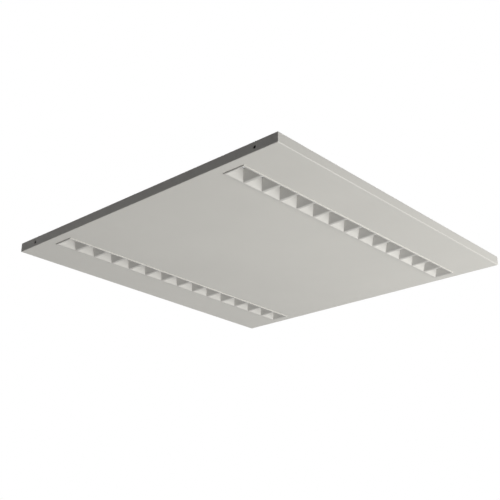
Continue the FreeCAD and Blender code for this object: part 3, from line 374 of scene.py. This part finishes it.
lens_plastic = clear_plastic("lens_plastic")
lens_columns = 32
dome_gap = 0.0008
dome_foot = aperture / 2 - dome_gap
dome_rings = 9
crown_lean = 0.06
pocket_radius = 0.00287
pocket_depth = 0.0011
foot_edge = 0.0003
for side in ("left", "right"):
    low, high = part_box("lenses_" + side)
    foot_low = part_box("louvre_" + side)[1][2]
    foot_half = (high[1] - low[1]) / 2
    drop = foot_low - low[2]
    ball = (dome_foot ** 2 + drop ** 2) / (2 * drop)
    lean = np.linspace(np.arcsin(dome_foot / ball), crown_lean, dome_rings)
    radii = np.concatenate([[pocket_radius, pocket_radius, foot_half - foot_edge, foot_half, foot_half,
                             foot_half - foot_edge], ball * np.sin(lean)])
    squareness = np.concatenate([[0.0, 0.0, 1.0, 1.0, 1.0, 1.0], 0.0 * lean])
    levels = np.concatenate([[high[2] - pocket_depth, high[2], high[2], high[2] - foot_edge,
                              foot_low + foot_edge, foot_low], low[2] + ball * (1.0 - np.cos(lean))])
    caps = turned_row((low[1] + high[1]) / 2, radii, squareness, levels, lens_columns)
    fit_in_panel(smooth_piece("lens_caps_" + side, *caps, lens_plastic), "lenses_" + side)


# Diodes
# Small square white packages soldered to the boards.
# A round cup in each front is filled with a low dome of yellow phosphor.

def phosphor(name, colour):
    """Silicone full of phosphor grains."""
    finish = start_finish(name, colour, roughness=0.5)
    tint(finish, grain(finish, per_metre=3000.0, detail=2.0), shaded(colour, 0.85), shaded(colour, 1.12))
    gloss(finish, grain(finish, per_metre=900.0), low=0.35, high=0.6)
    return finish


package_plastic = moulded_plastic("package_plastic", (0.74, 0.74, 0.72), low=0.4, high=0.55)
yellow_phosphor = phosphor("diode_phosphor", (0.78, 0.60, 0.13))
package_columns = 24
package_half = 0.00175
package_edge = 0.00006
cup_radius = 0.0014
cup_wall_band = 4
dome_shares = np.array([0.95, 0.7, 0.35])
dome_depths = np.array([0.00012, 0.00006, 0.00003])
for side in ("left", "right"):
    low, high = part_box("diodes_" + side)
    radii = np.concatenate([[package_half - package_edge, package_half, package_half,
                             package_half - package_edge, cup_radius], dome_shares * cup_radius])
    squareness = np.array([1.0, 1.0, 1.0, 1.0, 0.0, 0.0, 0.0, 0.0])
    levels = np.concatenate([[high[2], high[2] - package_edge, low[2] + package_edge, low[2], low[2]],
                             low[2] + dome_depths])
    packages = turned_row((low[1] + high[1]) / 2, radii, squareness, levels, package_columns)
    piece = smooth_piece("diode_packages_" + side, *packages, package_plastic)
    piece.data.materials.append(yellow_phosphor)
    band = np.tile(np.repeat(np.arange(len(levels) - 1), package_columns), cell_count)
    in_dome = np.concatenate([band > cup_wall_band, np.zeros(cell_count, bool), np.ones(cell_count, bool)])
    piece.data.polygons.foreach_set("material_index", in_dome.astype(np.int32))
    fit_in_panel(piece, "diodes_" + side)


# Diode boards
# Long aluminium boards with white solder mask, screwed to the underside of the back plate.
# A small connector at the inner edge of each takes its two leads from the driver.

def solder_mask(name, colour, track):
    """Lacquered board: fine copper tracks along the board show through as faint lines."""
    finish = start_finish(name, colour, roughness=0.4)
    lines = add_node(finish, "ShaderNodeTexWave", Vector=object_place(finish), Scale=110.0,
                     Distortion=0.6, Detail=1.0)
    lines.bands_direction = "Y"
    tint(finish, lines.outputs["Fac"], track, colour, start=0.08, end=0.16)
    gloss(finish, grain(finish, per_metre=400.0), low=0.3, high=0.5)
    relief(finish, lines.outputs["Fac"], height=0.00004, strength=0.4)
    return finish


white_mask = solder_mask("board_white_mask", (0.74, 0.74, 0.73), track=(0.62, 0.62, 0.58))
dress(white_mask, "diode_board_left", "diode_board_right")
connector_plastic = moulded_plastic("connector_plastic", (0.74, 0.74, 0.71), low=0.35, high=0.5)
dress(connector_plastic, "board_connector_left", "board_connector_right")


# Back plate
# A flat galvanised sheet closes the tray and carries the gear on its upper side.
# Twelve small screws hold it to the folded returns of the rim.

def galvanised(name, colour):
    """Hot dipped zinc: flat crystal spangles a few millimetres wide, each with its own tone. Their
    edges wander, because a noise shifts each place by up to some millimetres."""
    finish = start_finish(name, colour, roughness=0.42, metallic=1.0)
    wander = add_node(finish, "ShaderNodeTexNoise", Vector=object_place(finish), Scale=60.0)
    furthest = (0.006, 0.006, 0.006)
    spot = add_node(finish, "ShaderNodeVectorMath")
    spot.operation = "MULTIPLY_ADD"
    for socket, value in zip(spot.inputs, (wander.outputs["Color"], furthest, object_place(finish))):
        feed(finish, socket, value)
    crystals = add_node(finish, "ShaderNodeTexVoronoi", Vector=spot.outputs["Vector"], Scale=150.0)
    tone = add_node(finish, "ShaderNodeSeparateColor", Color=crystals.outputs["Color"])
    tint(finish, tone.outputs["Red"], shaded(colour, 0.9), shaded(colour, 1.06), start=0.0, end=1.0)
    gloss(finish, tone.outputs["Green"], low=0.36, high=0.54)
    relief(finish, crystals.outputs["Distance"], height=0.00003, strength=0.15)
    return finish


dress(galvanised("galvanised_sheet", (0.55, 0.56, 0.575)), "back_plate", "driver_base")


# Driver
# A slim white moulded case on a sheet base, with grooved sides, a sunk bare field on its lid and
# a circuit board inside. Push-in strips at its two ends take the supply and the diode leads.

case_shell = 0.0012
case_corner = 0.002
case_edge = 0.0012
corner_steps = 6
edge_steps = 5
side_rings = 5
inner_rings = 3
board_gate = 0.005
gate_turn = 0.6
groove_count = 21
groove_pitch = 0.006
groove_mouth = 0.26
groove_floor = 0.19
groove_columns = 4
groove_depth = 0.0005
groove_ease = 0.0004
groove_foot = 0.006
groove_head = 0.0035
field_margin = 0.003
field_depth = 0.0004


def case_columns(core_x, core_y):
    """Columns round half the case, anticlockwise: along one grooved side, then round two corners.
    Each has its place on the outline less its rounding, its direction outwards, and its share of a
    groove and of the gate for the board. The other half is the same, half a turn further."""
    groove_x = (np.arange(groove_count) - (groove_count - 1) / 2) * groove_pitch
    across = groove_pitch * np.array([-groove_mouth, -groove_floor, groove_floor, groove_mouth])
    side_x = (groove_x[:, None] + across).ravel()
    side_groove = np.tile([0.0, 1.0, 1.0, 0.0], groove_count)
    turn = np.linspace(0.0, np.pi / 2, corner_steps)
    runs = [(side_x, -core_y, -np.pi / 2, side_groove, 0.0),
            (core_x, -core_y, turn - np.pi / 2, 0.0, turn > gate_turn),
            (core_x, core_y, turn, 0.0, turn < np.pi / 2 - gate_turn)]
    half = np.concatenate([np.stack(np.broadcast_arrays(*run)) for run in runs], axis=1)
    other = half * np.array([-1.0, -1.0, 1.0, 1.0, 1.0])[:, None]
    other[2] += np.pi
    return np.concatenate([half, other], axis=1)


def case_rings(low, high):
    """Rings of the case from the sunk field out to its edge, down the grooved side and, one shell
    further in, up again. A ring is the outline moved inwards, with a corner that keeps some rounding."""
    middle, half = (low + high) / 2, (high - low) / 2
    core = half[:2] - case_corner
    x, y, angle, groove, gate = case_columns(*core)
    turn = np.linspace(np.pi / 2, 0.0, edge_steps)
    field = [field_margin + field_depth, field_margin]
    inward = np.concatenate([field, case_edge * (1.0 - np.cos(turn)),
                             np.zeros(side_rings), np.full(inner_rings, case_shell)])
    level = np.concatenate([
        [high[2] - field_depth, high[2]], high[2] - case_edge * (1.0 - np.sin(turn)),
        high[2] - groove_head - np.array([0.0, groove_ease]),
        low[2] + groove_foot + np.array([groove_ease, 0.0]),
        [low[2], low[2], low[2] + groove_foot, high[2] - case_shell]])
    groove_top = len(field) + edge_steps
    depth = np.zeros(len(level))
    depth[groove_top + 1:groove_top + 3] = groove_depth
    rounding = np.maximum(case_corner - inward, field_depth)
    fit = 1.0 - (inward + rounding - case_corner)[:, None] / core
    out = rounding[:, None] - depth[:, None] * groove
    ring_x = middle[0] + x * fit[:, :1] + out * np.cos(angle)
    ring_y = middle[1] + y * fit[:, 1:] + out * np.sin(angle)
    at_foot = np.isclose(level, low[2])
    ring_z = level[:, None] + np.outer(at_foot, board_gate * gate)
    return np.stack([ring_x, ring_y, ring_z], axis=-1)


def lid_faces(first, columns):
    """Faces that close one ring, seen anticlockwise: quads from side to side and a polygon at each end."""
    half, side = columns // 2, groove_columns * groove_count
    near = first + np.arange(side)
    far = first + half + np.arange(side)[::-1]
    strip = np.stack([near[:-1], near[1:], far[1:], far[:-1]], axis=-1)
    end = np.arange(side - 1, half + 1)
    return strip.tolist() + [(first + end).tolist(), (first + (end + half) % columns).tolist()]


rings = case_rings(*(np.array(corner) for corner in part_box("driver_cover")))
ring_count, columns = rings.shape[:2]
inside_lid = [face[::-1] for face in lid_faces((ring_count - 1) * columns, columns)]
case_faces = ring_quads(ring_count, columns).tolist() + lid_faces(0, columns) + inside_lid
driver_plastic = moulded_plastic("driver_plastic", (0.72, 0.72, 0.71), low=0.4, high=0.55, peel=0.00006)
fit_in_panel(smooth_piece("driver_case", rings, case_faces, driver_plastic), "driver_cover")
green_mask = solder_mask("board_green_mask", (0.02, 0.14, 0.06), track=(0.05, 0.22, 0.09))
dress(green_mask, "driver_circuit_board")
dress(moulded_plastic("component_cases", (0.05, 0.05, 0.06), low=0.3, high=0.5), "driver_components")
grey_plastic = moulded_plastic("terminal_plastic", (0.50, 0.51, 0.52), low=0.35, high=0.5)
dress(grey_plastic, "driver_input_terminal", "driver_output_terminal")


# Supply terminal block
# A grey moulded block with three push-in poles, screwed to the back plate.
# Each pole has a brass contact and a sprung orange button that frees its wire.

def tinned_brass(name, colour, tin):
    """Stamped brass strip under a thin worn layer of tin."""
    finish = start_finish(name, colour, roughness=0.3, metallic=1.0)
    tint(finish, grain(finish, per_metre=350.0, detail=4.0), colour, tin, start=0.42, end=0.56)
    gloss(finish, grain(finish, per_metre=600.0), low=0.22, high=0.42)
    return finish


dress(grey_plastic, "terminal_block")
button_plastic = moulded_plastic("button_plastic", (0.72, 0.22, 0.03), low=0.28, high=0.42)
dress(button_plastic, "release_button_line", "release_button_neutral", "release_button_earth")
contact_brass = tinned_brass("contact_brass", (0.62, 0.46, 0.20), tin=(0.66, 0.65, 0.62))
dress(contact_brass, "terminal_contacts", "earth_ring")


# Leads
# Single wires in coloured sleeves run from the terminal block to the driver and from the
# driver to the two boards. Clips hold the long ones, and the earth lead ends in a ring.

def wire_sleeve(name, colour):
    """Extruded sleeve: slightly uneven colour and a soft sheen."""
    finish = start_finish(name, colour, roughness=0.4)
    tint(finish, grain(finish, per_metre=300.0, detail=2.0), shaded(colour, 0.88), shaded(colour, 1.1))
    gloss(finish, grain(finish, per_metre=700.0), low=0.32, high=0.48)
    return finish


def striped_sleeve(name, colour, stripe):
    """Extruded sleeve in two colours: slanted bands in space cut the wire into stripes."""
    finish = start_finish(name, colour, roughness=0.4)
    bands = add_node(finish, "ShaderNodeTexWave", Vector=object_place(finish), Scale=95.0)
    bands.bands_direction = "DIAGONAL"
    tint(finish, bands.outputs["Fac"], colour, stripe, start=0.55, end=0.62)
    gloss(finish, grain(finish, per_metre=700.0), low=0.32, high=0.48)
    return finish


for node, colour in (("lead_line", (0.16, 0.07, 0.03)), ("lead_neutral", (0.03, 0.11, 0.40)),
                     ("diode_leads_positive", (0.46, 0.02, 0.02)),
                     ("diode_leads_negative", (0.02, 0.02, 0.022))):
    dress(wire_sleeve(node + "_sleeve", colour), node)
earth_sleeve = striped_sleeve("earth_sleeve", (0.05, 0.26, 0.05), stripe=(0.62, 0.52, 0.04))
dress(earth_sleeve, "lead_earth")
dress(moulded_plastic("clip_nylon", (0.66, 0.65, 0.59), low=0.4, high=0.55), "lead_clips")


# Room
# A pale floor lies at room height below the ceiling, under soft lamps, in a white surround.
# The camera stands where the photograph was taken from.

scene = bpy.context.scene
scene.view_settings.view_transform = "Standard"


def seen_directly(tree):
    """1 for rays from the camera, from glossy faces and through clear ones, and else 0."""
    path = tree.nodes.new("ShaderNodeLightPath")
    total = path.outputs["Is Camera Ray"]
    for name in ("Is Glossy Ray", "Is Transmission Ray"):
        sum_node = tree.nodes.new("ShaderNodeMath")
        sum_node.operation = "ADD"
        sum_node.use_clamp = True
        tree.links.new(total, sum_node.inputs[0])
        tree.links.new(path.outputs[name], sum_node.inputs[1])
        total = sum_node.outputs["Value"]
    return total


world = bpy.data.worlds.new("white_surround")
world.use_nodes = True
scene.world = world
sky = world.node_tree
ambient = sky.nodes["Background"]
ambient.inputs["Color"].default_value = (1.0, 0.95, 0.99, 1.0)
ambient.inputs["Strength"].default_value = 0.067
white = sky.nodes.new("ShaderNodeBackground")
white.inputs["Color"].default_value = (1.0, 1.0, 1.0, 1.0)
white.inputs["Strength"].default_value = 1.0
choose = sky.nodes.new("ShaderNodeMixShader")
sky.links.new(seen_directly(sky), choose.inputs["Fac"])
sky.links.new(ambient.outputs["Background"], choose.inputs[1])
sky.links.new(white.outputs["Background"], choose.inputs[2])
sky.links.new(choose.outputs["Shader"], sky.nodes["World Output"].inputs["Surface"])


def glowing_paint(name, colour):
    """Pale paint in the lamps' light, mixed with a white glow where it is seen directly. The share of
    the glow goes from about half in the middle to all of it some metres out."""
    finish = start_finish(name, colour, roughness=0.8)
    tint(finish, grain(finish, per_metre=2.0), (0.78, 0.78, 0.77), (0.82, 0.82, 0.81))
    out = add_node(finish, "ShaderNodeVectorMath", Vector=object_place(finish, (1.0, 1.0, 0.0)))
    out.operation = "LENGTH"
    fade = add_node(finish, "ShaderNodeMapRange", Value=out.outputs["Value"],
                    From_Min=1.0, From_Max=6.0, To_Min=0.55)
    direct = add_node(finish, "ShaderNodeMath")
    direct.operation = "MULTIPLY"
    feed(finish, direct.inputs[0], fade.outputs["Result"])
    feed(finish, direct.inputs[1], seen_directly(finish.node_tree))
    glow = add_node(finish, "ShaderNodeEmission", Strength=1.0)
    surface = add_node(finish, "ShaderNodeMixShader", Fac=direct.outputs["Value"])
    nodes = finish.node_tree.nodes
    feed(finish, surface.inputs[1], nodes["Principled BSDF"].outputs["BSDF"])
    feed(finish, surface.inputs[2], glow.outputs["Emission"])
    feed(finish, nodes["Material Output"].inputs["Surface"], surface.outputs["Shader"])
    return finish


def floor_grid(half, level, steps):
    """Flat square grid at one level: both parameters run from -half to half in even steps."""
    along = np.linspace(-half, half, steps)
    x, y = np.meshgrid(along, along, indexing="ij")
    return np.stack([x, y, np.full_like(x, level)], axis=-1)


def grid_faces(rows, columns):
    """Quads of a grid of points, row by row, that face along the cross product of its two ways."""
    first = np.arange((rows - 1) * (columns - 1)).reshape(rows - 1, columns - 1)
    first = first + np.arange(rows - 1)[:, None]
    return np.stack([first, first + columns, first + columns + 1, first + 1], axis=-1).reshape(-1, 4)


floor_level = -2.6
floor_half = 14.0
floor_steps = 21
floor = mesh_object("floor", floor_grid(floor_half, floor_level, floor_steps),
                    grid_faces(floor_steps, floor_steps).tolist(),
                    glowing_paint("floor_paint", (0.80, 0.80, 0.79)))
panel_middle = (0.0, 0.0, -0.05)


def soft_lamp(name, place, side, watts, colour):
    """Square area lamp at a place, turned to face the middle of the panel."""
    data = bpy.data.lights.new(name, "AREA")
    data.shape = "SQUARE"
    data.size = side
    data.energy = watts
    data.color = colour
    lamp = bpy.data.objects.new(name, data)
    scene.collection.objects.link(lamp)
    lamp.location = place
    lamp.visible_camera = False
    toward = Vector(panel_middle) - Vector(place)
    lamp.rotation_euler = toward.to_track_quat("-Z", "Y").to_euler()


soft_lamp("key_lamp", (0.8, -2.0, -0.7), side=1.0, watts=29.6, colour=(1.0, 1.0, 0.98))
soft_lamp("fill_lamp", (0.6, -0.9, -2.0), side=1.0, watts=19.2, colour=(1.0, 1.0, 0.98))
soft_lamp("top_lamp", (1.4, 1.6, 2.6), side=2.0, watts=100.0, colour=(1.0, 1.0, 1.0))

camera_data = bpy.data.cameras.new("camera")
camera_data.sensor_width = 36.0
camera_data.lens = 63.5835
camera = bpy.data.objects.new("camera", camera_data)
scene.collection.objects.link(camera)
camera.location = (-1.07546, -0.97767, -0.62344)
camera.rotation_euler = tuple(math.radians(turn) for turn in (112.13737, -0.80862, -47.24396))
scene.camera = camera
